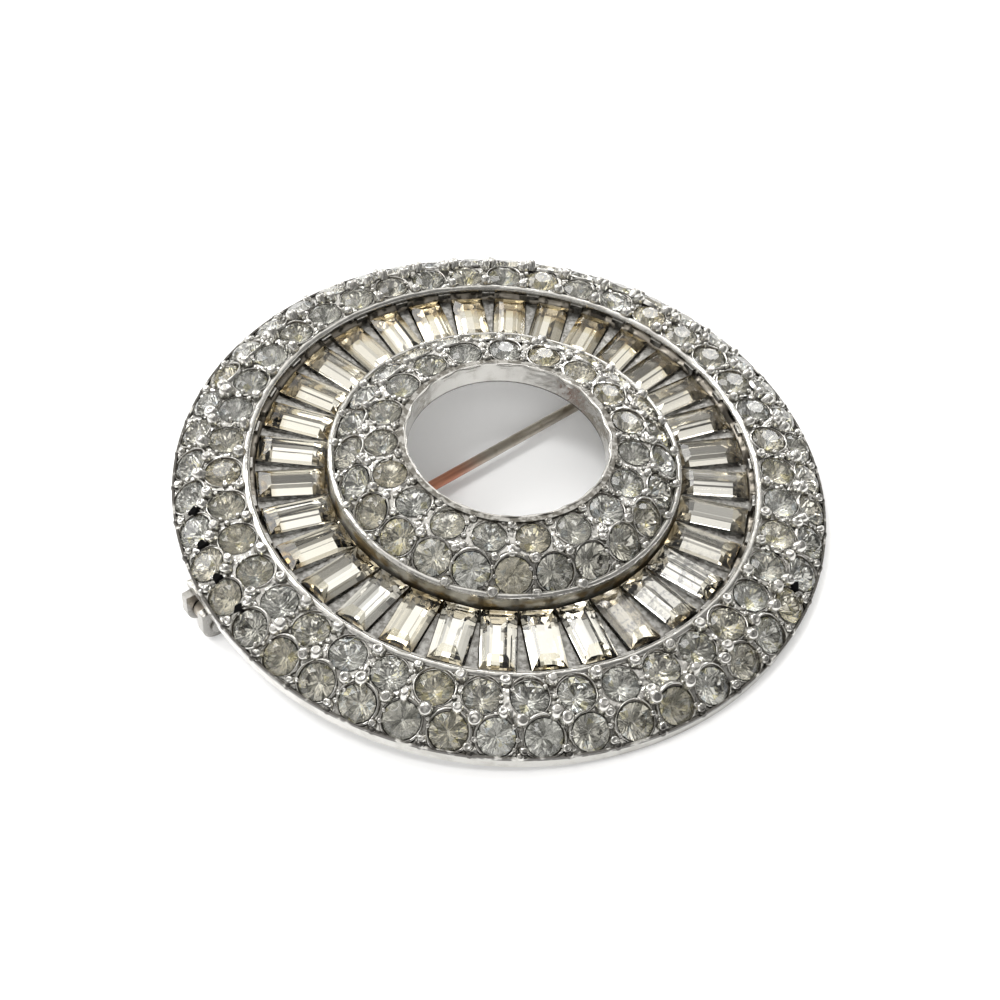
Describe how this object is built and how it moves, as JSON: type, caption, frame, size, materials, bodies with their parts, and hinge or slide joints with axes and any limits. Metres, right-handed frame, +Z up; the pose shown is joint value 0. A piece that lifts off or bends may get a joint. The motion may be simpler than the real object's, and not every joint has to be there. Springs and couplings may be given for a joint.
{
  "type": "brooch",
  "caption": "Round domed target brooch with rings of round and baguette crystals around an open centre, on a hinged pin.",
  "frame": {"origin": "bottom centre of the bounding box, on the table under the middle of the brooch", "axes": "+Z up from the table, +X to the picture's right, +Y away from its camera; the brooch's own axis leans about 7 degrees from +Z because the hinge and catch prop one side of it"},
  "size_m": [0.0512, 0.051, 0.0103],
  "materials": {
    "plated_casting": "polished bright white plating over a casting",
    "pin_wire": "drawn wire, dulled and browned",
    "round_crystal": "faceted, foil backed",
    "baguette_crystal": "step cut, foil backed"
  },
  "bodies": {
    "brooch": {"brooch_body": "plated_casting", "hinge_rivet": "plated_casting", "shoulder_stones": "round_crystal", "crest_stones": "round_crystal", "slope_stones": "round_crystal", "top_stones": "round_crystal", "baguette_01": "baguette_crystal", "baguette_02": "baguette_crystal", "baguette_03": "baguette_crystal", "baguette_04": "baguette_crystal", "baguette_05": "baguette_crystal", "baguette_06": "baguette_crystal", "baguette_07": "baguette_crystal", "baguette_08": "baguette_crystal", "baguette_09": "baguette_crystal", "baguette_10": "baguette_crystal", "baguette_11": "baguette_crystal", "baguette_12": "baguette_crystal", "baguette_13": "baguette_crystal", "baguette_14": "baguette_crystal", "baguette_15": "baguette_crystal", "baguette_16": "baguette_crystal", "baguette_17": "baguette_crystal", "baguette_18": "baguette_crystal", "baguette_19": "baguette_crystal", "baguette_20": "baguette_crystal", "baguette_21": "baguette_crystal", "baguette_22": "baguette_crystal", "baguette_23": "baguette_crystal", "baguette_24": "baguette_crystal", "baguette_25": "baguette_crystal", "baguette_26": "baguette_crystal", "baguette_27": "baguette_crystal", "baguette_28": "baguette_crystal", "baguette_29": "baguette_crystal", "baguette_30": "baguette_crystal", "baguette_31": "baguette_crystal", "baguette_32": "baguette_crystal"},
    "pin": {"pin_stem": "pin_wire"}
  },
  "joints": [
    {"name": "pin_hinge", "type": "hinge", "parent": "brooch", "child": "pin", "pos_m": [-0.02187, -0.01169, 0.00156], "axis": [-0.6325, 0.7646, 0.124], "range_deg": [0, 70]}
  ]
}
